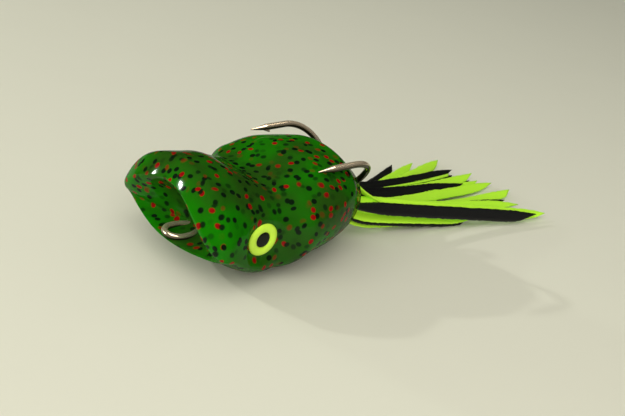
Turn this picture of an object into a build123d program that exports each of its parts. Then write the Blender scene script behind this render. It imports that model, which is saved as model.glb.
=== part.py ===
"""Hollow-body topwater popper: a soft frog body with a cupped mouth, a double hook and two strip skirts.

Shapes are laid out with X forward from the tail, Y to the lure's left and Z up from the ground it
rests on, all in millimetres. Each piece is then moved so that the origin is the centre of the line
tie, the wire eye in the mouth where the line is tied.
"""
import math
import os

from build123d import *

# ---- body ----
WALL = 1.8
TAIL_FACE_X = 1.0
CAVITY_REAR_X = 3.0
CAVITY_FRONT_X = 35.0
# Stations along the body: distance from the tail, half width, bottom, top, and the height of the
# widest point as a share of the section's height.
STATIONS = [
    (TAIL_FACE_X, 6.8, 3.4, 14.0, 0.60),
    (3.0, 8.0, 1.6, 16.6, 0.62),
    (7.0, 10.8, 0.9, 19.8, 0.64),
    (13.0, 14.8, 0.5, 22.5, 0.62),
    (20.0, 16.9, 0.1, 22.5, 0.58),
    (25.0, 16.7, 0.0, 21.0, 0.55),
    (30.0, 14.6, 0.0, 18.6, 0.42),
    (35.0, 14.0, 0.4, 19.6, 0.28),
    (40.0, 16.6, 1.8, 21.9, 0.23),
    (45.0, 18.2, 3.8, 22.2, 0.23),
    (50.0, 16.4, 4.9, 17.4, 0.25),
]
SECTION_POINTS = 24

# ---- mouth ----
MOUTH_X = 48.2
MOUTH_LEAN = 7.0
CUP_BACK_X = 38.2
CUP_HALF_WIDTH = 15.9
CUP_BOTTOM = 5.4
CUP_TOP = 16.6
CUP_WIDEST = 0.33
CUP_SINK = 2.4
CUP_OPEN_AHEAD = 3.0
CUP_SHARES = (0.0, 0.25, 0.5, 0.72, 0.88, 0.97)

# ---- hook ----
WIRE_R = 0.7
SHANK_Y = 0.85
SHANK_REAR_X = 11.5
SHANK_REAR_Z = 9.0
SHANK_PITCH = 3.0
BEND_R = 8.4
BEND_SPREAD = 37.0
POINT_LENGTH = 9.2
POINT_TAPER = 4.0
POINT_TIP_R = 0.12
BARB_BACK = 4.6
BARB_LENGTH = 2.2
BARB_DEPTH = 0.4
BARB_ROOT = 0.5
BARB_HALF_T = 0.22
TIE_CENTRE_X = 44.8
TIE_R = 2.5
TIE_NECK = 4.0
TIE_SHOULDER = 0.6
HOOK_PIVOT_X = 41.0
HOOK_TILT_MAX = 5.0
SLOT_R = 1.15
SLOT_STEPS = 4

# ---- lead weight and nose collar ----
WEIGHT_R = 3.0
WEIGHT_START_X = 14.5
WEIGHT_LENGTH = 11.0
WEIGHT_DROP = 1.3
WEIGHT_ROUNDING = 1.4
COLLAR_R = 2.6
COLLAR_START_X = 35.6
COLLAR_LENGTH = 3.6
COLLAR_SLOT_GAP = 0.35
COLLAR_SLOT_PLAY = 1.0
COLLAR_HOLE_BACK = 2.0
COLLAR_HOLE_AHEAD = 1.0

# ---- eyes ----
EYE_X = 34.9
EYE_Z = 10.6
EYE_R = 3.2
PUPIL_R = 1.55
EYE_INNER_Y = 12.6
EYE_FACE_Y = 13.8
SOCKET_R = 3.8
SOCKET_INNER_Y = 11.0
SOCKET_FACE_Y = 13.5
SEAT_CUT_END_Y = 18.0

# ---- skirt ----
KNOT_X = 0.8
KNOT_Y = 3.4
KNOT_Z = 7.2
KNOT_R = 2.2
KNOT_HOLE_R = 2.5
KNOT_HOLE_LENGTH = 10.0
STRIP_LAYERS = 5
LAYER_RISE = 0.62
STRIP_T = 0.3
STRIP_W = 1.9
COLUMN_OFFSET = 1.0
KNEE_DROP = 0.4
DROP_START = 3.5
DROP_END = 18.0
LEFT_TURNS = (-7.0, 13.0)
RIGHT_TURNS = (-31.0, -9.0)
STRIP_LENGTH = 62.0
LENGTH_STEPS = (0.0, -5.0, 3.0, -8.0, -2.0)

SIDES = {"left": 1, "right": -1}


def shank_height(x):
    """Height of the hook's shank, which falls gently toward the nose."""
    return SHANK_REAR_Z - (x - SHANK_REAR_X) * math.tan(math.radians(SHANK_PITCH))


TIE_Z = shank_height(TIE_CENTRE_X)
TO_ORIGIN = Pos(-TIE_CENTRE_X, 0, -TIE_Z)


def ring(x, half_width, bottom, top, widest):
    """Closed smooth outline across the body: two half ellipses that share their widest line."""
    middle = bottom + (top - bottom) * widest
    points = []
    for i in range(SECTION_POINTS):
        angle = 2 * math.pi * i / SECTION_POINTS
        rise = math.sin(angle)
        reach = top - middle if rise > 0 else middle - bottom
        points.append((x, half_width * math.cos(angle), middle + reach * rise))
    return make_face(Wire([Spline(*points, periodic=True)]))


def make_body():
    """Hollow skin with a cupped mouth, two skirt holes, two hook slots and seats for eyes and collar."""
    skin = loft([ring(*station) for station in STATIONS])
    mouth_plane = Plane(origin=(MOUTH_X, 0, (CUP_BOTTOM + CUP_TOP) / 2), z_dir=(1, 0, 0))
    skin = split(skin, mouth_plane.rotated((0, MOUTH_LEAN, 0)), keep=Keep.BOTTOM)
    for side in SIDES.values():
        skin += eye_disc(side, SOCKET_R, SOCKET_INNER_Y, SOCKET_FACE_Y)

    cavity_stations = [s for s in STATIONS if CAVITY_REAR_X < s[0] <= CAVITY_FRONT_X]
    cavity = loft([ring(x, w - WALL, b + WALL, t - WALL, m) for x, w, b, t, m in cavity_stations])
    skin -= cavity

    cup_depth = MOUTH_X + CUP_OPEN_AHEAD - CUP_BACK_X
    cup_rings = []
    for share in CUP_SHARES:
        scale = math.sqrt(1 - share**2)
        centre = (CUP_BOTTOM + CUP_TOP) / 2 - CUP_SINK * share
        half_width = CUP_HALF_WIDTH * scale
        half_height = (CUP_TOP - CUP_BOTTOM) / 2 * scale
        x = CUP_BACK_X + cup_depth * (1 - share)
        cup_rings.append(ring(x, half_width, centre - half_height, centre + half_height, CUP_WIDEST))
    skin -= loft(cup_rings)

    hole_start_x = COLLAR_START_X - COLLAR_HOLE_BACK
    hole_length = TIE_CENTRE_X + COLLAR_HOLE_AHEAD - COLLAR_START_X
    collar_hole = Pos(hole_start_x, 0, shank_height(COLLAR_START_X)) * Rot(0, 90, 0)
    skin -= collar_hole * Cylinder(COLLAR_R, hole_length, align=(Align.CENTER, Align.CENTER, Align.MIN))
    for side in SIDES.values():
        knot_hole = Pos(KNOT_X, side * KNOT_Y, KNOT_Z) * Rot(0, 90, 0)
        skin -= knot_hole * Cylinder(KNOT_HOLE_R, KNOT_HOLE_LENGTH)
        for step in range(SLOT_STEPS):
            lift = HOOK_TILT_MAX * step / (SLOT_STEPS - 1)
            skin -= tilt_at_nose(hook_bend(side, SLOT_R), lift)
        skin -= eye_disc(side, EYE_R, EYE_INNER_Y, SEAT_CUT_END_Y)
    return skin


def tilt_at_nose(shape, degrees):
    """Turn a shape about the hook's seat in the nose so that its tail end rises."""
    pivot_z = shank_height(HOOK_PIVOT_X)
    return Pos(HOOK_PIVOT_X, 0, pivot_z) * Rot(0, degrees, 0) * Pos(-HOOK_PIVOT_X, 0, -pivot_z) * shape


def rod(edge, radius):
    """Round wire of the given radius along one edge."""
    start = Plane(origin=edge @ 0, z_dir=edge % 0)
    return sweep(start * Circle(radius), path=edge)


def hook_plane(side):
    """Plane of one hook's bend: its X runs forward along the shank, its Y up and outward to the point."""
    pitch = math.radians(SHANK_PITCH)
    forward = Vector(math.cos(pitch), 0, -math.sin(pitch))
    upright = Vector(math.sin(pitch), 0, math.cos(pitch))
    spread = math.radians(BEND_SPREAD)
    outward = upright * math.cos(spread) + Vector(0, side * math.sin(spread), 0)
    return Plane(
        origin=(SHANK_REAR_X, side * SHANK_Y, SHANK_REAR_Z), x_dir=forward, z_dir=forward.cross(outward)
    )


def hook_bend(side, radius):
    """Half-circle bend of one hook."""
    centre = (0, BEND_R)
    bend = hook_plane(side) * CenterArc(centre, BEND_R, 90, 180)
    return rod(bend, radius)


def make_hook():
    """One wire: the line tie's loop, two shanks side by side, two bends and two barbed points."""
    pitch = math.radians(SHANK_PITCH)
    forward = Vector(math.cos(pitch), 0, -math.sin(pitch))
    eye_plane = Plane(
        origin=(TIE_CENTRE_X, 0, TIE_Z), x_dir=forward, z_dir=(math.sin(pitch), 0, math.cos(pitch))
    )
    shank_length = (TIE_CENTRE_X - SHANK_REAR_X) / math.cos(pitch) - TIE_R - TIE_NECK
    hook = None
    for side in SIDES.values():
        plane = hook_plane(side)
        rear = plane.from_local_coords((0, 0, 0))
        neck = plane.from_local_coords((shank_length, 0, 0))
        quarter = eye_plane * CenterArc((0, 0), TIE_R, 0, side * 90)
        shoulder = eye_plane * Line((0, side * TIE_R), (-TIE_SHOULDER, side * TIE_R))
        tie_side = eye_plane.from_local_coords((-TIE_SHOULDER, side * TIE_R, 0))
        taper = Spline(neck, tie_side, tangents=[forward, forward])
        point_start = Vector(0, 2 * BEND_R, 0)
        point_end = Vector(POINT_LENGTH - POINT_TAPER, 2 * BEND_R, 0)
        straight = plane * Line(point_start, point_end)
        half = hook_bend(side, WIRE_R) + rod(Line(rear, neck), WIRE_R) + rod(taper, WIRE_R)
        half += rod(shoulder, WIRE_R) + rod(quarter, WIRE_R) + rod(straight, WIRE_R)
        half += plane * make_point()
        hook = half if hook is None else hook + half
    return hook


def make_point():
    """Tapered point with its barb on the side that faces the shank, in the hook's plane."""
    point = Pos(POINT_LENGTH - POINT_TAPER, 2 * BEND_R, 0) * Rot(0, 90, 0)
    point *= Cone(WIRE_R, POINT_TIP_R, POINT_TAPER, align=(Align.CENTER, Align.CENTER, Align.MIN))
    barb_x = POINT_LENGTH - BARB_BACK
    barb_y = 2 * BEND_R - WIRE_R
    corners = (
        (barb_x, barb_y - BARB_DEPTH),
        (barb_x + BARB_LENGTH, barb_y + BARB_ROOT),
        (barb_x, barb_y + BARB_ROOT),
    )
    return point + extrude(Polygon(*corners, align=None), BARB_HALF_T, both=True)


def make_weight(hook):
    """Lead keel weight cast round the two shanks."""
    middle = WEIGHT_START_X + WEIGHT_LENGTH / 2
    place = Pos(middle, 0, shank_height(middle) - WEIGHT_DROP) * Rot(0, 90 + SHANK_PITCH, 0)
    slug = Cylinder(WEIGHT_R, WEIGHT_LENGTH)
    slug = fillet(slug.edges(), WEIGHT_ROUNDING)
    return place * slug - hook


def make_collar():
    """Soft sleeve that seals the two shanks where they leave the back of the cup."""
    place = Pos(COLLAR_START_X, 0, shank_height(COLLAR_START_X)) * Rot(0, 90, 0)
    sleeve = place * Cylinder(COLLAR_R, COLLAR_LENGTH, align=(Align.CENTER, Align.CENTER, Align.MIN))
    slot_width = 2 * (SHANK_Y + WIRE_R + COLLAR_SLOT_GAP)
    slot_height = 2 * (WIRE_R + COLLAR_SLOT_GAP) + COLLAR_SLOT_PLAY
    middle = COLLAR_START_X + COLLAR_LENGTH / 2
    slot = Pos(middle, 0, shank_height(middle)) * Box(2 * COLLAR_LENGTH, slot_width, slot_height)
    return sleeve - slot


def eye_disc(side, radius, inner_y=EYE_INNER_Y, outer_y=EYE_FACE_Y):
    """Round disc on the eye's centre, square to the lure's side, between two distances from the middle."""
    place = Pos(EYE_X, side * (inner_y + outer_y) / 2, EYE_Z) * Rot(90, 0, 0)
    return place * Cylinder(radius, outer_y - inner_y)


def make_knot(side):
    """Round knot that holds one skirt's strips in the tail."""
    return Pos(KNOT_X, side * KNOT_Y, KNOT_Z) * Sphere(KNOT_R)


def make_strip(side, turn, layer, column, length):
    """Flat rubber strip that drops from the knot to the ground and lies out behind the lure."""
    root_z = KNOT_Z + (layer - (STRIP_LAYERS - 1) / 2) * LAYER_RISE
    lie_z = STRIP_T / 2 + layer * LAYER_RISE
    upper = [(0, root_z), (DROP_START, root_z - KNEE_DROP), (DROP_END, lie_z), (length, lie_z)]
    half = STRIP_T / 2
    outline = [(r, z + half) for r, z in upper] + [(r, z - half) for r, z in reversed(upper)]
    profile = make_face(Polyline(*[(r, 0, z) for r, z in outline], close=True))
    strip = extrude(profile, STRIP_W / 2, both=True, dir=(0, 1, 0))
    root = Pos(KNOT_X, side * KNOT_Y + column * COLUMN_OFFSET, 0)
    return root * Rot(0, 0, 180 - turn) * strip


def make_skirt(side, turns):
    """Strips of one skirt, in two columns of stacked layers, fanned between the two turns."""
    first, last = turns
    middle = (first + last) / 2
    half_fan = (last - first) / 2
    knot = make_knot(side)
    strips = []
    for column in (-1, 1):
        for layer in range(STRIP_LAYERS):
            share = (layer + 1) / STRIP_LAYERS
            turn = middle + column * half_fan * share
            length = STRIP_LENGTH + LENGTH_STEPS[(layer + 2 * column) % STRIP_LAYERS]
            strips.append(make_strip(side, turn, layer, column, length) - knot)
    return strips


def main():
    hook = make_hook()
    nodes = {
        "body_shell": make_body(),
        "double_hook": hook,
        "belly_weight": make_weight(hook),
        "nose_collar": make_collar(),
    }
    for name, side in SIDES.items():
        nodes[f"eye_ring_{name}"] = eye_disc(side, EYE_R) - eye_disc(side, PUPIL_R)
        nodes[f"eye_pupil_{name}"] = eye_disc(side, PUPIL_R)
        nodes[f"skirt_knot_{name}"] = make_knot(side)
        turns = LEFT_TURNS if name == "left" else RIGHT_TURNS
        for number, strip in enumerate(make_skirt(side, turns), start=1):
            nodes[f"skirt_strip_{name}_{number:02d}"] = strip
    os.makedirs("parts", exist_ok=True)
    for name, shape in nodes.items():
        export_step(TO_ORIGIN * shape, f"parts/{name}.step")


main()
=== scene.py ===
"""Topwater popper: hollow soft frog body with glitter flakes, side eyes, double hook and strip skirts."""
import math

import bpy
import numpy as np
from mathutils import Matrix, Vector


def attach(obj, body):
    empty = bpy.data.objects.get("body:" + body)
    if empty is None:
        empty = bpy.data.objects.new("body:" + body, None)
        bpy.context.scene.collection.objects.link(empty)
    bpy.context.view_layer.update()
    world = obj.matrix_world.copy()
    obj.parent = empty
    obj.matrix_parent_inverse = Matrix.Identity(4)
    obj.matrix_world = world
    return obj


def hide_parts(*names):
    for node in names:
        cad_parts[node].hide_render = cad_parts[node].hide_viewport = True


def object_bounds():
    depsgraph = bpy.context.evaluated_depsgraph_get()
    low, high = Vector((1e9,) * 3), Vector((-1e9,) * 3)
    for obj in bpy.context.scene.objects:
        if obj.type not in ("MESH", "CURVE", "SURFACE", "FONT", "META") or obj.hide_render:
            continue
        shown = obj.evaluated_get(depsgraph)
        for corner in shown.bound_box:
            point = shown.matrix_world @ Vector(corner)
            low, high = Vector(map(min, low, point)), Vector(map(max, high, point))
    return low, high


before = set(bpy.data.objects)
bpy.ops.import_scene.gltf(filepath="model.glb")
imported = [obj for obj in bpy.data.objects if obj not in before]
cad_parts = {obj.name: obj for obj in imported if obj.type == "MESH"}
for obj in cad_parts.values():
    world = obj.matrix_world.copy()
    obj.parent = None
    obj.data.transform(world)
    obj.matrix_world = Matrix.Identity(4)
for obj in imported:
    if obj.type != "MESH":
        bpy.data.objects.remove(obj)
CAD_LOW, CAD_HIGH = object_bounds()

MM = 0.001
TIE_FROM_TAIL = 44.8 * MM
FLOOR_Z = CAD_LOW.z
SIDES = {"left": 1, "right": -1}

# The tail's end at the height of the ground: shapes are measured from here, x forward, y to the
# left and z up, and moved into the frame when their mesh is made.
TAIL_END = np.array((-TIE_FROM_TAIL, 0, FLOOR_Z))


def smooth(t):
    """Smooth step from 0 at 0 to 1 at 1."""
    t = np.clip(t, 0, 1)
    return t * t * (3 - 2 * t)


def grid_mesh(name, grid, close_start=False, close_end=False, tube=False):
    """Mesh object from rings of points, each ring closed round; a tube's last ring joins its first."""
    rows, columns = grid.shape[:2]
    verts = grid.reshape(-1, 3).tolist()
    faces = []
    for i in range(rows if tube else rows - 1):
        this, following = i * columns, (i + 1) % rows * columns
        for j in range(columns):
            k = (j + 1) % columns
            faces.append((this + j, this + k, following + k, following + j))
    if close_start:
        faces.append(tuple(range(columns))[::-1])
    if close_end:
        faces.append(tuple((rows - 1) * columns + j for j in range(columns)))
    mesh = bpy.data.meshes.new(name)
    mesh.from_pydata(verts, [], faces)
    mesh.validate()
    obj = bpy.data.objects.new(name, mesh)
    bpy.context.scene.collection.objects.link(obj)
    mesh.shade_smooth()
    return obj


# ---- body surface ----
# Each station is the distance from the tail, half width, bottom and top, in millimetres, and the
# share of the height at which the section is widest.
STATIONS = np.array([
    (0.0, 4.0, 6.5, 12.6, 0.64),
    (0.8, 5.0, 3.9, 14.1, 0.64),
    (2.5, 6.7, 1.8, 16.3, 0.64),
    (6.0, 9.4, 1.0, 19.0, 0.64),
    (12.0, 13.8, 0.8, 22.7, 0.64),
    (19.0, 16.4, 0.2, 22.6, 0.64),
    (25.0, 17.2, 0.0, 20.6, 0.60),
    (30.5, 14.3, 0.3, 18.6, 0.43),
    (35.0, 14.7, 1.2, 20.2, 0.27),
    (40.0, 16.2, 3.2, 22.0, 0.23),
    (45.0, 17.4, 6.2, 22.2, 0.225),
    (50.0, 14.2, 6.7, 16.6, 0.22),
]) * (MM, MM, MM, MM, 1.0)
SHORT_OF_END = 1e-9
NECK_X = 32 * MM
NECK_SPREAD = 6 * MM
NECK_BOXINESS = 0.9
SEAT_PLACE = np.array((34.9, 13.55, 10.6)) * MM
SEAT_R = 3.5 * MM
SEAT_BLEND = 2.4 * MM
CHEEK_MIN_Y = 8 * MM


def gentle_slopes(x, y):
    """Slope at each station that makes the cubic through the values monotone between them."""
    gap = np.diff(x)[:, None]
    rate = np.diff(y, axis=0) / gap
    early, late = rate[:-1], rate[1:]
    a, b = 2 * gap[1:] + gap[:-1], gap[1:] + 2 * gap[:-1]
    same_way = early * late > 0
    safe_early, safe_late = np.where(same_way, early, 1), np.where(same_way, late, 1)
    inner = np.where(same_way, (a + b) / (a / safe_early + b / safe_late), 0)
    return np.concatenate([rate[:1], inner, rate[-1:]])


SLOPES = gentle_slopes(STATIONS[:, 0], STATIONS[:, 1:])


def station_at(x):
    """Half width, bottom, top and widest share at a distance from the tail."""
    x = np.clip(x, 0, STATIONS[-1, 0] - SHORT_OF_END)
    i = np.searchsorted(STATIONS[:, 0], x, side="right") - 1
    gap = (STATIONS[i + 1, 0] - STATIONS[i, 0])[..., None]
    t = (x - STATIONS[i, 0])[..., None] / gap
    start, end = STATIONS[i, 1:], STATIONS[i + 1, 1:]
    rise = (3 * t**2 - 2 * t**3) * (end - start)
    return start + rise + gap * ((t**3 - 2 * t**2 + t) * SLOPES[i] + (t**3 - t**2) * SLOPES[i + 1])


def skin_point(x, angle):
    """Point of the body's outer skin; its sections are ellipses that grow boxier at the neck."""
    half_width, low, high, widest = np.moveaxis(station_at(x), -1, 0)
    middle = low + (high - low) * widest
    neck = np.exp(-((x - NECK_X) / NECK_SPREAD) ** 2)
    power = 2 / (2 + NECK_BOXINESS * neck)
    across = np.sign(np.cos(angle)) * np.abs(np.cos(angle)) ** power
    rise = np.sign(np.sin(angle)) * np.abs(np.sin(angle)) ** power
    reach = np.where(rise > 0, high - middle, middle - low)
    return np.stack([x, half_width * across, middle + reach * rise], -1)


def seat_eyes(points):
    """Flattens the skin round each eye, with a soft edge, so that the eye lies in a shallow seat."""
    for side in SIDES.values():
        away = np.hypot(points[..., 0] - SEAT_PLACE[0], points[..., 2] - SEAT_PLACE[2])
        keep = smooth((away - SEAT_R) / SEAT_BLEND)
        y = side * points[..., 1]
        seated = side * (SEAT_PLACE[1] + (y - SEAT_PLACE[1]) * keep)
        points[..., 1] = np.where(y > CHEEK_MIN_Y, seated, points[..., 1])
    return points


# ---- mouth ----
# The rim's distance from the tail, in millimetres, changes with how far a place is above the
# mouth's middle and, squared, with how far it is out to a side.
RIM_X = 47.8
RIM_MIDDLE_Z = 9
RIM_UP_UNIT = 10
RIM_OUT_UNIT = 15
RIM_LEAN = 1.3
RIM_BOW = 0.6
RIM_SWEEP = 2.1
RIM_SIDE_LEAN = 5.3
RIM_SEARCH_FROM = 36 * MM
RIM_SEARCH_TO = 49.9 * MM
RIM_SEARCH_STEPS = 40
CUP_BACK = 40.6 * MM
CUP_CENTRE_Z = 8.6 * MM
CUP_BOWL_Y = 10.5 * MM
CUP_BOWL_UP = 6.6 * MM
CUP_BOWL_DOWN = 1.85 * MM
CUP_SIDE_RISE = 4.0 * MM
TOP_LIP = 1.4 * MM
LOW_LIP = 3.0 * MM
SIDE_LIP = 3.8 * MM
AROUND = 180
ALONG = 130
FINER_AT_TAIL = 1.25
CUP_STEPS = 44
FINER_AT_RIM = 1.5


def mouth_x(y, z):
    """Distance from the tail of the mouth's rim at a given place across the face."""
    up = (z / MM - RIM_MIDDLE_Z) / RIM_UP_UNIT
    out = (y / MM / RIM_OUT_UNIT) ** 2
    return (RIM_X + RIM_LEAN * up - RIM_BOW * up**2 - RIM_SWEEP * out + RIM_SIDE_LEAN * out * up) * MM


def rim_place(angle):
    """How far from the tail each column of the skin reaches the mouth's rim."""
    low, high = np.full_like(angle, RIM_SEARCH_FROM), np.full_like(angle, RIM_SEARCH_TO)
    for _ in range(RIM_SEARCH_STEPS):
        middle = (low + high) / 2
        p = skin_point(middle, angle)
        inside = p[..., 0] < mouth_x(p[..., 1], p[..., 2])
        low, high = np.where(inside, middle, low), np.where(inside, high, middle)
    return (low + high) / 2


def cup_rings(skin, angle):
    """Rings from the rim to the cup's floor: in each column a curve rolls over the lip and inward."""
    rim = skin[-1]
    forward = skin[-1] - skin[-2]
    forward /= np.linalg.norm(forward, axis=1)[:, None]
    rise, side = np.sin(angle)[:, None], np.abs(np.cos(angle))[:, None]
    lip = np.where(rise > 0, TOP_LIP, LOW_LIP) * (1 - side**2) + SIDE_LIP * side**2
    bowl_z = np.where(rise > 0, CUP_BOWL_UP, CUP_BOWL_DOWN) * rise
    shoulder = np.column_stack([CUP_BACK + CUP_SIDE_RISE * side**2, CUP_BOWL_Y * np.cos(angle),
                                CUP_CENTRE_Z + bowl_z])
    floor = np.array((CUP_BACK, 0, CUP_CENTRE_Z))
    rings = []
    for t in np.linspace(0, 1, CUP_STEPS + 1)[1:-1] ** FINER_AT_RIM:
        rings.append((1 - t)**3 * rim + 3 * (1 - t)**2 * t * (rim + forward * lip)
                     + 3 * (1 - t) * t**2 * shoulder + t**3 * floor)
    return np.array(rings)


def make_body():
    """Body in one closed surface, from the tail's end over the skin and the lip into the cup."""
    angle = np.linspace(0, 2 * np.pi, AROUND, endpoint=False)
    share = np.linspace(0, 1, ALONG) ** FINER_AT_TAIL
    x = share[:, None] * rim_place(angle)[None, :]
    skin = seat_eyes(skin_point(x, np.broadcast_to(angle, x.shape)))
    grid = np.concatenate([skin, cup_rings(skin, angle)]) + TAIL_END
    return grid_mesh("frog_skin", grid, close_start=True, close_end=True)


# ---- turned pieces: eyes and skirt bindings ----
# Each profile is a list of (radius, height along the axis), in millimetres.
TURN_STEPS = 96
EYE_FACE_Y = 13.72
IRIS = [(1.62, -1.2), (1.62, -0.02), (1.70, 0.10), (1.95, 0.20), (2.45, 0.27), (2.95, 0.20), (3.22, 0.10),
        (3.36, -0.05), (3.42, -0.25), (3.42, -1.2)]
PUPIL = [(0.02, 0.24), (0.5, 0.23), (1.0, 0.18), (1.35, 0.10), (1.52, 0.0), (1.59, -0.12), (1.59, -1.2)]
BINDING = [(0.02, -1.3), (1.2, -1.3), (1.55, -1.0), (1.4, -0.65), (1.65, -0.35), (1.45, 0.0), (1.65, 0.35),
           (1.4, 0.65), (1.55, 1.0), (1.2, 1.3), (0.02, 1.3)]
BINDING_PLACE = (1.2, 2.7, 8.4)


def turned(name, profile, centre, out, across, tube=False):
    """Round piece from a profile turned about the axis that runs out from its centre."""
    angle = np.linspace(0, 2 * np.pi, TURN_STEPS, endpoint=False)[:, None]
    out, across = np.array(out, float), np.array(across, float)
    spoke = across * np.cos(angle) + np.cross(out, across) * np.sin(angle)
    rings = [np.array(centre) + radius * spoke + height * out for radius, height in profile]
    grid = np.array(rings) * MM + TAIL_END
    return grid_mesh(name, grid, close_start=not tube, close_end=not tube, tube=tube)


# ---- skirt strips, with lengths in millimetres ----
STRIP_T = 0.45
STRIP_ROWS = 90
STRIP_START_X = 2.0
FAN_CENTRE = np.array((0.8, 0))
START_HANDLE = 0.16
TIP_HANDLE = 0.45
TWIST_END = 0.7
ROOT_WIDTH = 0.55
ROOT_LENGTH = 0.25
RAGGED = 0.03
EDGE_FROM = 0.8
TIP_SLANT = 1.4
TIP_SLANT_POWER = 7
EVEN_STRIP_SLANT = 0.6
TIP_LENGTH = 8.0
TIP_POINTS = (0.6, 0.35, 0.7)
GROUND_GAP = 0.06
# Corners of a strip's section: place across it from edge to edge, and face (1 upper, -1 lower).
STRIP_SECTION = ((-1, 0), (-0.9, 1), (-0.45, 1), (0, 1), (0.45, 1), (0.9, 1),
                 (1, 0), (0.9, -1), (0.45, -1), (0, -1), (-0.45, -1), (-0.9, -1))
# Name, side, number, colour, start (y, z), then the tip as reach from the tail and turn toward the
# left in degrees, tip height, face tilt at start and tip in degrees, sideways bow, width, and how
# soon it falls.
STRIPS = [
    ("far_edge", "right", 1, "black", -4.0, 8.8, 47.5, -29.0, 0.9, 22, 20, 0.0, 2.2, 1.3),
    ("upper", "right", 2, "black", -3.2, 10.2, 58.5, -15.0, 1.2, 40, 28, 2.0, 3.6, 1.5),
    ("fan_one", "right", 3, "chartreuse", -3.8, 7.2, 53.5, -24.6, 1.0, 30, 25, 0.0, 3.0, 1.35),
    ("middle", "right", 4, "black", -3.0, 8.6, 54.5, -12.4, 1.1, 40, 30, 1.2, 3.4, 1.4),
    ("inner", "right", 5, "black", -2.4, 6.3, 58.5, -9.4, 0.5, 30, 25, 0.3, 2.9, 1.35),
    ("fan_two", "right", 6, "chartreuse", -3.6, 6.4, 62.0, -20.4, 1.0, 25, 25, 0.0, 3.3, 1.35),
    ("fan_three", "right", 7, "chartreuse", -2.8, 8.1, 61.0, -10.1, 1.5, 32, 28, 0.5, 2.8, 1.4),
    ("short", "right", 8, "black", -1.6, 9.0, 52.0, -7.6, 1.6, 40, 34, 0.6, 3.1, 1.3),
    ("shortest", "right", 9, "black", -2.0, 9.8, 47.0, -9.0, 2.0, 38, 36, 0.9, 3.0, 1.3),
    ("on_edge", "right", 10, "chartreuse", -2.9, 9.3, 54.5, -13.6, 1.9, -24, -24, 1.5, 2.4, 1.4),
    ("back_one", "left", 1, "chartreuse", 1.6, 7.0, 59.5, -7.3, 0.9, 25, 28, 0.0, 2.9, 1.35),
    ("back_two", "left", 2, "chartreuse", 1.8, 8.2, 62.5, -5.3, 1.0, 25, 25, 0.3, 2.9, 1.35),
    ("under", "left", 3, "black", 2.4, 11.5, 57.0, 3.5, 0.9, 40, 25, 0.0, 3.2, 1.7),
    ("twisted", "left", 4, "chartreuse", 2.6, 13.8, 63.5, -0.2, 1.0, -22, 25, -1.0, 2.9, 2.4),
    ("wide", "left", 5, "chartreuse", 2.6, 7.6, 58.5, 6.8, 1.1, 30, 30, 0.0, 3.5, 0.95),
    ("long", "left", 6, "chartreuse", 3.3, 9.9, 62.5, 12.2, 1.1, 45, 45, 0.0, 3.0, 1.05),
    ("front", "left", 7, "black", 4.6, 8.8, 58.0, 14.0, 1.5, 38, 52, -0.2, 3.1, 1.0),
    ("low", "left", 8, "chartreuse", 3.9, 6.5, 40.0, 12.0, 1.0, 45, 35, -0.2, 2.8, 1.15),
    ("lowest", "left", 9, "chartreuse", 3.3, 5.0, 46.0, 7.6, 0.5, 50, 30, 0.9, 3.0, 2.4),
    ("hidden", "left", 10, "black", 3.4, 5.7, 38.0, 12.0, 0.5, 40, 30, -0.2, 2.8, 1.3),
]


def strip_path(s, start_y, start_z, reach, turn, tip_z, bow, sag):
    """Middle line of a strip: straight out of the tail, down to the ground and out to its tip."""
    heading = np.array((-math.cos(math.radians(turn)), math.sin(math.radians(turn))))
    start = np.array((STRIP_START_X, start_y))
    tip = FAN_CENTRE + reach * heading
    points = [start, start + (-START_HANDLE * reach, 0), tip - heading * TIP_HANDLE * reach, tip]
    weights = [(1 - s)**3, 3 * (1 - s)**2 * s, 3 * (1 - s) * s**2, s**3]
    plan = sum(w[:, None] * p for w, p in zip(weights, points))
    plan += np.sin(math.pi * s)[:, None] * bow * np.array((-heading[1], heading[0]))
    height = tip_z + (start_z - tip_z) * (1 - s) ** sag
    return np.column_stack([plan, height])


def strip_directions(path, angle):
    """Directions across a strip and out of its upper face, where it is tilted by the angle."""
    tangent = np.gradient(path, axis=0)
    tangent /= np.linalg.norm(tangent, axis=1)[:, None]
    flat = np.cross(tangent, (0.0, 0.0, 1.0))
    flat /= np.linalg.norm(flat, axis=1)[:, None]
    up = np.cross(flat, tangent)
    return flat * np.cos(angle) - up * np.sin(angle), up * np.cos(angle) + flat * np.sin(angle)


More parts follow.
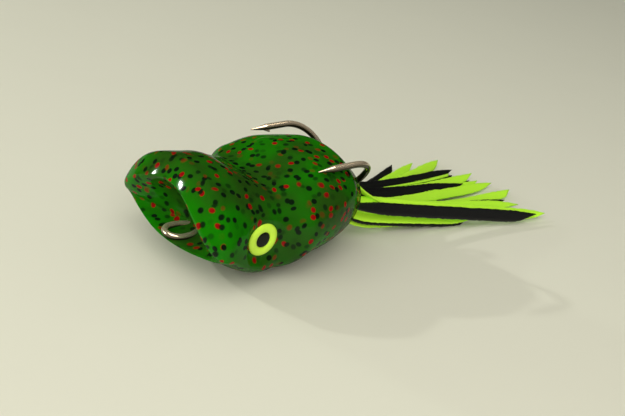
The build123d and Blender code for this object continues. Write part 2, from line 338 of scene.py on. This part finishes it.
def make_strip(name, start_y, start_z, reach, turn, tip_z, tilt, tip_tilt, bow, width, sag, seed):
    """Flat rubber strip with ragged cut edges and a slanted, pointed tip."""
    random = np.random.default_rng(seed)
    s = np.linspace(0, 1, STRIP_ROWS)
    path = strip_path(s, start_y, start_z, reach, turn, tip_z, bow, sag)
    angle = np.radians(tilt + (tip_tilt - tilt) * smooth(s / TWIST_END))[:, None]
    side, face = strip_directions(path, angle)
    pointed = TIP_POINTS[seed % len(TIP_POINTS)]
    near_tip = np.clip((s * reach - reach + TIP_LENGTH) / TIP_LENGTH, 0, 1)
    widening = ROOT_WIDTH + (1 - ROOT_WIDTH) * smooth(s / ROOT_LENGTH)
    half = width / 2 * widening * (1 - pointed * near_tip**2)
    slant = TIP_SLANT * (1 if seed % 2 else EVEN_STRIP_SLANT)
    ragged = 1 + RAGGED * random.standard_normal((STRIP_ROWS, 2))
    rows = []
    for v, n in STRIP_SECTION:
        edge = np.where(abs(v) > EDGE_FROM, ragged[:, 0 if v < 0 else 1], 1)
        back = slant * width / reach * (v + 1) / 2 * s**TIP_SLANT_POWER
        shifted = np.column_stack([np.interp(s - back, s, path[:, k]) for k in range(3)])
        rows.append(shifted + side * (v * half * edge)[:, None] + face * n * STRIP_T / 2)
    grid = np.stack(rows, 1)
    grid[..., 2] = np.maximum(grid[..., 2], GROUND_GAP)
    return grid_mesh(name, grid * MM + TAIL_END, close_start=True, close_end=True)


# ---- material tools ----
GRAIN_DETAIL = 4
GRAIN_DEPTH = 0.05 * MM


def material(name, **plain):
    """Principled material with plain values on its sockets; returns it with its tree and shader."""
    made = bpy.data.materials.new(name)
    made.use_nodes = True
    shader = made.node_tree.nodes["Principled BSDF"]
    for socket, value in plain.items():
        shader.inputs[socket.replace("_", " ")].default_value = value
    return made, made.node_tree, shader


def feed(tree, socket, value):
    """Gives an input its value, which is a plain one or another node's socket."""
    if isinstance(value, bpy.types.NodeSocket):
        tree.links.new(value, socket)
    else:
        socket.default_value = value


def link_math(tree, operation, *values, vector=False):
    """Math node of that kind; each value is a number, a tuple or a socket."""
    node = tree.nodes.new("ShaderNodeVectorMath" if vector else "ShaderNodeMath")
    node.operation = operation
    for socket, value in zip(node.inputs, values):
        feed(tree, socket, value)
    return node.outputs["Value" if operation == "DOT_PRODUCT" else 0]


def ramp(tree, value, low, high):
    """Smooth step from 0 at low to 1 at high."""
    node = tree.nodes.new("ShaderNodeMapRange")
    node.interpolation_type = "SMOOTHSTEP"
    node.inputs["From Min"].default_value = low
    node.inputs["From Max"].default_value = high
    tree.links.new(value, node.inputs["Value"])
    return node.outputs["Result"]


def mix(tree, factor, a, b):
    """Colour mix node; the factor and the two colours are plain values or sockets."""
    node = tree.nodes.new("ShaderNodeMix")
    node.data_type = "RGBA"
    for socket, value in ((node.inputs[0], factor), (node.inputs[6], a), (node.inputs[7], b)):
        feed(tree, socket, value)
    return node.outputs[2]


def coordinates(tree, kind):
    """Texture coordinates of that kind."""
    return tree.nodes.new("ShaderNodeTexCoord").outputs[kind]


def plain_material(name, colour, grain, grain_scale, bump, **plain):
    """Material with a fine noise grain in its colour and a light bump."""
    made, tree, shader = material(name, **plain)
    noise = tree.nodes.new("ShaderNodeTexNoise")
    noise.inputs["Scale"].default_value = grain_scale
    noise.inputs["Detail"].default_value = GRAIN_DETAIL
    tree.links.new(coordinates(tree, "Object"), noise.inputs["Vector"])
    dark = tuple(c * (1 - grain) for c in colour) + (1,)
    light = tuple(min(1, c * (1 + grain)) for c in colour) + (1,)
    tree.links.new(mix(tree, noise.outputs["Fac"], dark, light), shader.inputs["Base Color"])
    relief = tree.nodes.new("ShaderNodeBump")
    relief.inputs["Strength"].default_value = bump
    relief.inputs["Distance"].default_value = GRAIN_DEPTH
    tree.links.new(noise.outputs["Fac"], relief.inputs["Height"])
    tree.links.new(relief.outputs["Normal"], shader.inputs["Normal"])
    return made


def give(obj, mat):
    """One material on every slot of an object."""
    if not obj.data.materials:
        obj.data.materials.append(mat)
    for slot in obj.material_slots:
        slot.material = mat


# ---- skin material ----
# Skin green in a random cloud: the greyish dark tone is painted sheen, the bright tone is painted glow of
# light through the translucent wall.
SKIN_PAINTED_SHEEN = (0.014, 0.058, 0.004, 1)
SKIN_PAINTED_GLOW = (0.006, 0.145, 0.001, 1)
CLOUD_SCALE = 80
CLOUD_FROM = 0.35
CLOUD_TO = 0.7
FLAKE_BLACK = (0.003, 0.009, 0.003, 1)
FLAKE_RED = (0.21, 0.004, 0.003, 1)
FLAKE_RED_DEEP = (0.07, 0.012, 0.005, 1)
FLAKE_R = 0.60 * MM
FLAKE_SCATTER = 0.9
FLAKE_OVALNESS = 3.0
FLAKE_EDGE = 0.05 * MM
FLAKE_BLUR_WITH_DEPTH = 0.3
FLAKE_FADES_FROM = 0.14
FLAKE_GONE_AT = 0.46
# Spacing, seed and the share of red flakes of each layer.
FLAKE_LAYERS = ((2.15 * MM, 0.31, 0.27), (2.2 * MM, 0.77, 0.31))


def flake_layer(tree, coords, spacing, seed):
    """Round flakes scattered in the wall, each a disc that lies along the skin at its own depth.

    Gives how strongly a point is covered, a random number for its flake, and how shallow it lies.
    """
    shift = link_math(tree, "ADD", coords, (seed, seed * 0.7, -seed), vector=True)
    cells = tree.nodes.new("ShaderNodeTexVoronoi")
    cells.voronoi_dimensions = "3D"
    cells.inputs["Scale"].default_value = 1 / spacing
    cells.inputs["Randomness"].default_value = FLAKE_SCATTER
    tree.links.new(shift, cells.inputs["Vector"])
    offset = link_math(tree, "SUBTRACT", shift, cells.outputs["Position"], vector=True)
    normal = coordinates(tree, "Normal")
    depth = link_math(tree, "DOT_PRODUCT", offset, normal, vector=True)
    through = link_math(tree, "MULTIPLY", normal, depth, vector=True)
    across = link_math(tree, "SUBTRACT", offset, through, vector=True)
    tilt = link_math(tree, "SUBTRACT", cells.outputs["Color"], (0.5, 0.5, 0.5), vector=True)
    leaning = link_math(tree, "DOT_PRODUCT", across, tilt, vector=True)
    round_part = link_math(tree, "DOT_PRODUCT", across, across, vector=True)
    lean_part = link_math(tree, "MULTIPLY", link_math(tree, "MULTIPLY", leaning, leaning), FLAKE_OVALNESS)
    reach = link_math(tree, "SQRT", link_math(tree, "ADD", round_part, lean_part))
    down = link_math(tree, "ABSOLUTE", depth)
    blur = link_math(tree, "MULTIPLY_ADD", down, FLAKE_BLUR_WITH_DEPTH, FLAKE_EDGE)
    edge = link_math(tree, "DIVIDE", link_math(tree, "SUBTRACT", reach, FLAKE_R), blur)
    cover = ramp(tree, edge, 1.0, -1.0)
    shallow = ramp(tree, down, FLAKE_GONE_AT * spacing, FLAKE_FADES_FROM * spacing)
    pick = tree.nodes.new("ShaderNodeSeparateColor")
    tree.links.new(cells.outputs["Color"], pick.inputs["Color"])
    return link_math(tree, "MULTIPLY", cover, shallow), pick.outputs["Red"], shallow


def skin_material():
    """Glossy translucent green with red and black flakes; deeper flakes are dimmer and softer; its green
    is a random cloud of painted glow and painted greyish sheen.
    """
    made, tree, shader = material(
        "green_flake_skin", Roughness=0.3, Specular_IOR_Level=0.0,
        Coat_Weight=0.32, Coat_Roughness=0.06, Coat_IOR=1.38,
        Subsurface_Weight=0.4, Subsurface_Radius=(0.15, 1.0, 0.1), Subsurface_Scale=2.5 * MM)
    coords = coordinates(tree, "Object")
    # Random cloud that mixes the painted greyish sheen and the painted glow of light through the wall.
    painted_glow_cloud = tree.nodes.new("ShaderNodeTexNoise")
    painted_glow_cloud.inputs["Scale"].default_value = CLOUD_SCALE
    tree.links.new(coords, painted_glow_cloud.inputs["Vector"])
    colour = mix(tree, ramp(tree, painted_glow_cloud.outputs["Fac"], CLOUD_FROM, CLOUD_TO), SKIN_PAINTED_SHEEN, SKIN_PAINTED_GLOW)
    for spacing, seed, red_share in FLAKE_LAYERS:
        cover, pick, shallow = flake_layer(tree, coords, spacing, seed)
        is_red = link_math(tree, "LESS_THAN", pick, red_share)
        flake = mix(tree, is_red, FLAKE_BLACK, mix(tree, shallow, FLAKE_RED_DEEP, FLAKE_RED))
        colour = mix(tree, cover, colour, flake)
    tree.links.new(colour, shader.inputs["Base Color"])
    return made


# ---- wire material, with painted reflection and shade ----
# Colours of the wire's painted light: the dark painted shade, the pale painted reflection, and how far up
# the surface must face to turn pale.
WIRE_PAINTED_SHADE = (0.035, 0.032, 0.016, 1)
WIRE_PAINTED_REFLECTION = (0.80, 0.68, 0.50, 1)
WIRE_PAINTED_REFLECTION_FROM = 0.6


def wire_material():
    """Hook wire with painted light: a pale painted reflection where it faces up, painted dark shade down
    its flanks.
    """
    made, tree, shader = material("hook_wire", Metallic=0.85, Roughness=0.14)
    split = tree.nodes.new("ShaderNodeSeparateXYZ")
    tree.links.new(coordinates(tree, "Normal"), split.inputs[0])
    # Painted light: the wire is paled where its surface faces up, as a painted reflection, and darkened
    # down its flanks, as painted shade.
    painted_reflection_share = ramp(tree, split.outputs["Z"], 0.0, WIRE_PAINTED_REFLECTION_FROM)
    tree.links.new(mix(tree, painted_reflection_share, WIRE_PAINTED_SHADE, WIRE_PAINTED_REFLECTION), shader.inputs["Base Color"])
    return made


# ---- stage: camera, floor and light ----
CAMERA_PLACE = Vector((113.5, 144.3, 91.1)) * MM
CAMERA_AZIMUTH = math.radians(-135.87)
CAMERA_ELEVATION = math.radians(-23.77)
CAMERA_ROLL = math.radians(12.54)
CAMERA_LENS = 60.5
CAMERA_SENSOR = 36
CAMERA_CLIP_START = 0.005
FLOOR_HALF = 3.0
FLOOR_COLOUR = (0.71, 0.70, 0.57)
ROOM_COLOUR = (0.93, 0.95, 0.90, 1)
ROOM_STRENGTH = 0.32
# Name, place, the point it shines at and size, in metres, then power in watts, colour, and whether
# glossy surfaces mirror it.
LIGHTS = [
    ("soft_top", (0.15, 0.30, 0.50), (0.02, 0.02, 0), (0.5, 0.5), 1.3, (1.0, 0.97, 0.93), False),
    ("soft_front", (0.50, 0.60, 0.25), (0, 0, 0), (0.8, 0.8), 3.9, (1.0, 0.96, 0.93), False),
    ("soft_left", (0.75, 0.14, 0.50), (0, 0, 0), (0.8, 0.8), 3.7, (1.0, 0.98, 0.93), False),
    ("ceiling_lamp_a", (0.70, -0.66, 0.46), (0, 0, 0.01), (0.05, 0.022), 2.7, (1.0, 1.0, 1.0), True),
    ("ceiling_lamp_b", (0.43, -0.89, 0.25), (0, 0, 0.01), (0.035, 0.02), 1.3, (0.9, 1.0, 0.9), True),
    ("wire_panel", (0.05, 0.05, 0.50), (0, 0, 0), (0.7, 0.7), 6.0, (1.0, 0.92, 0.78), True),
]


def make_camera():
    """Camera in front and to the left of the lure, looking down at it and rolled a little."""
    data = bpy.data.cameras.new("camera")
    data.lens = CAMERA_LENS
    data.sensor_width = CAMERA_SENSOR
    data.clip_start = CAMERA_CLIP_START
    camera = bpy.data.objects.new("camera", data)
    flat = math.cos(CAMERA_ELEVATION)
    look = Vector((flat * math.cos(CAMERA_AZIMUTH), flat * math.sin(CAMERA_AZIMUTH),
                   math.sin(CAMERA_ELEVATION)))
    right = look.cross(Vector((0, 0, 1))).normalized()
    up = right.cross(look)
    rolled_right = math.cos(CAMERA_ROLL) * right + math.sin(CAMERA_ROLL) * up
    rolled_up = math.cos(CAMERA_ROLL) * up - math.sin(CAMERA_ROLL) * right
    turn = Matrix((rolled_right, rolled_up, -look)).transposed().to_4x4()
    camera.matrix_world = Matrix.Translation(CAMERA_PLACE) @ turn
    bpy.context.scene.collection.objects.link(camera)
    bpy.context.scene.camera = camera


def make_floor():
    """Cream table top under the lure."""
    corners = [(x * FLOOR_HALF, y * FLOOR_HALF, 0) for x, y in ((-1, -1), (1, -1), (1, 1), (-1, 1))]
    mesh = bpy.data.meshes.new("floor")
    mesh.from_pydata(corners, [], [(0, 1, 2, 3)])
    floor = bpy.data.objects.new("floor", mesh)
    bpy.context.scene.collection.objects.link(floor)
    floor.location.z = FLOOR_Z
    give(floor, plain_material("cream_table", FLOOR_COLOUR, grain=0.01, grain_scale=40, bump=0.0,
                               Roughness=0.8, Specular_IOR_Level=0.2))


def make_room():
    """Even light from all round, which glossy surfaces don't mirror."""
    world = bpy.data.worlds.new("soft_room")
    bpy.context.scene.world = world
    world.use_nodes = True
    background = world.node_tree.nodes["Background"]
    background.inputs["Color"].default_value = ROOM_COLOUR
    background.inputs["Strength"].default_value = ROOM_STRENGTH
    world.cycles_visibility.glossy = False
    bpy.context.scene.view_settings.view_transform = "Standard"


def add_light(name, place, aim, size, power, colour, mirrored):
    """Rectangular lamp that shines at a point."""
    data = bpy.data.lights.new(name, "AREA")
    data.shape = "RECTANGLE"
    data.size, data.size_y = size
    data.energy = power
    data.color = colour
    lamp = bpy.data.objects.new(name, data)
    lamp.location = place
    lamp.visible_glossy = mirrored
    lamp.rotation_euler = (Vector(aim) - Vector(place)).to_track_quat("-Z", "Y").to_euler()
    bpy.context.scene.collection.objects.link(lamp)
    return lamp


def make_lights():
    """All lamps; the wire's panel shines on the hook alone."""
    lamps = {row[0]: add_light(*row) for row in LIGHTS}
    wire_only = bpy.data.collections.new("wire_only")
    wire_only.objects.link(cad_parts["double_hook"])
    lamps["wire_panel"].light_linking.receiver_collection = wire_only


# ---- the lure ----
EYE_YELLOW = (0.55, 0.85, 0.05)
EYE_BLACK = (0.008, 0.009, 0.006)
LEAD_GREY = (0.25, 0.25, 0.27)
TRIM_BLACK = (0.02, 0.02, 0.02)
STRIP_BLACK = (0.010, 0.010, 0.010)
STRIP_CHARTREUSE = (0.50, 0.95, 0.03)


def add_body():
    """Soft body with its cup."""
    body = make_body()
    give(body, skin_material())
    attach(body, "frog_body")
    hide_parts("body_shell")


def add_eyes():
    """A ring and a pupil in the seat of each cheek."""
    yellow = plain_material("eye_chartreuse", EYE_YELLOW, grain=0.05, grain_scale=600, bump=0.1,
                            Roughness=0.3)
    black = plain_material("eye_black", EYE_BLACK, grain=0.1, grain_scale=600, bump=0.1,
                           Roughness=0.5, Specular_IOR_Level=0.2)
    for name, side in SIDES.items():
        for part, profile, tube, look in (("ring", IRIS, True, yellow), ("pupil", PUPIL, False, black)):
            centre = (SEAT_PLACE[0] / MM, side * EYE_FACE_Y, SEAT_PLACE[2] / MM)
            piece = turned(f"eye_{part}_look_{name}", profile, centre, (0, side, 0), (1, 0, 0), tube)
            give(piece, look)
            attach(piece, "frog_body")
            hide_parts(f"eye_{part}_{name}")


def dress_hook_and_weight():
    """Materials for the wire and its lead weight, which keep their CAD shapes."""
    lead = plain_material("lead", LEAD_GREY, grain=0.2, grain_scale=300, bump=0.3,
                          Metallic=1.0, Roughness=0.5)
    give(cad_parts["double_hook"], wire_material())
    give(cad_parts["belly_weight"], lead)


def add_soft_trim():
    """Black material for the nose collar, and the ribbed binding that holds each skirt in the tail."""
    trim = plain_material("soft_trim", TRIM_BLACK, grain=0.1, grain_scale=300, bump=0.2, Roughness=0.4)
    give(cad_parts["nose_collar"], trim)
    for name, side in SIDES.items():
        x, y, z = BINDING_PLACE
        binding = turned(f"skirt_binding_{name}", BINDING, (x, side * y, z), (1, 0, 0), (0, 1, 0))
        give(binding, trim)
        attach(binding, f"skirt_{name}")
        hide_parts(f"skirt_knot_{name}")


def add_strips():
    """Rubber strips of both skirts."""
    rubber = {
        "black": plain_material("strip_black", STRIP_BLACK, grain=0.5, grain_scale=2600, bump=0.5,
                                Roughness=0.6),
        "chartreuse": plain_material("strip_chartreuse", STRIP_CHARTREUSE, grain=0.05,
                                     grain_scale=1500, bump=0.3, Roughness=0.55),
    }
    for name, side, number, colour, *shape in STRIPS:
        strip = make_strip(f"strip_{side}_{name}", *shape, seed=number)
        give(strip, rubber[colour])
        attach(strip, f"skirt_{side}")
        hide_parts(f"skirt_strip_{side}_{number:02d}")


make_camera()
make_floor()
make_room()
make_lights()
add_body()
add_eyes()
dress_hook_and_weight()
add_soft_trim()
add_strips()
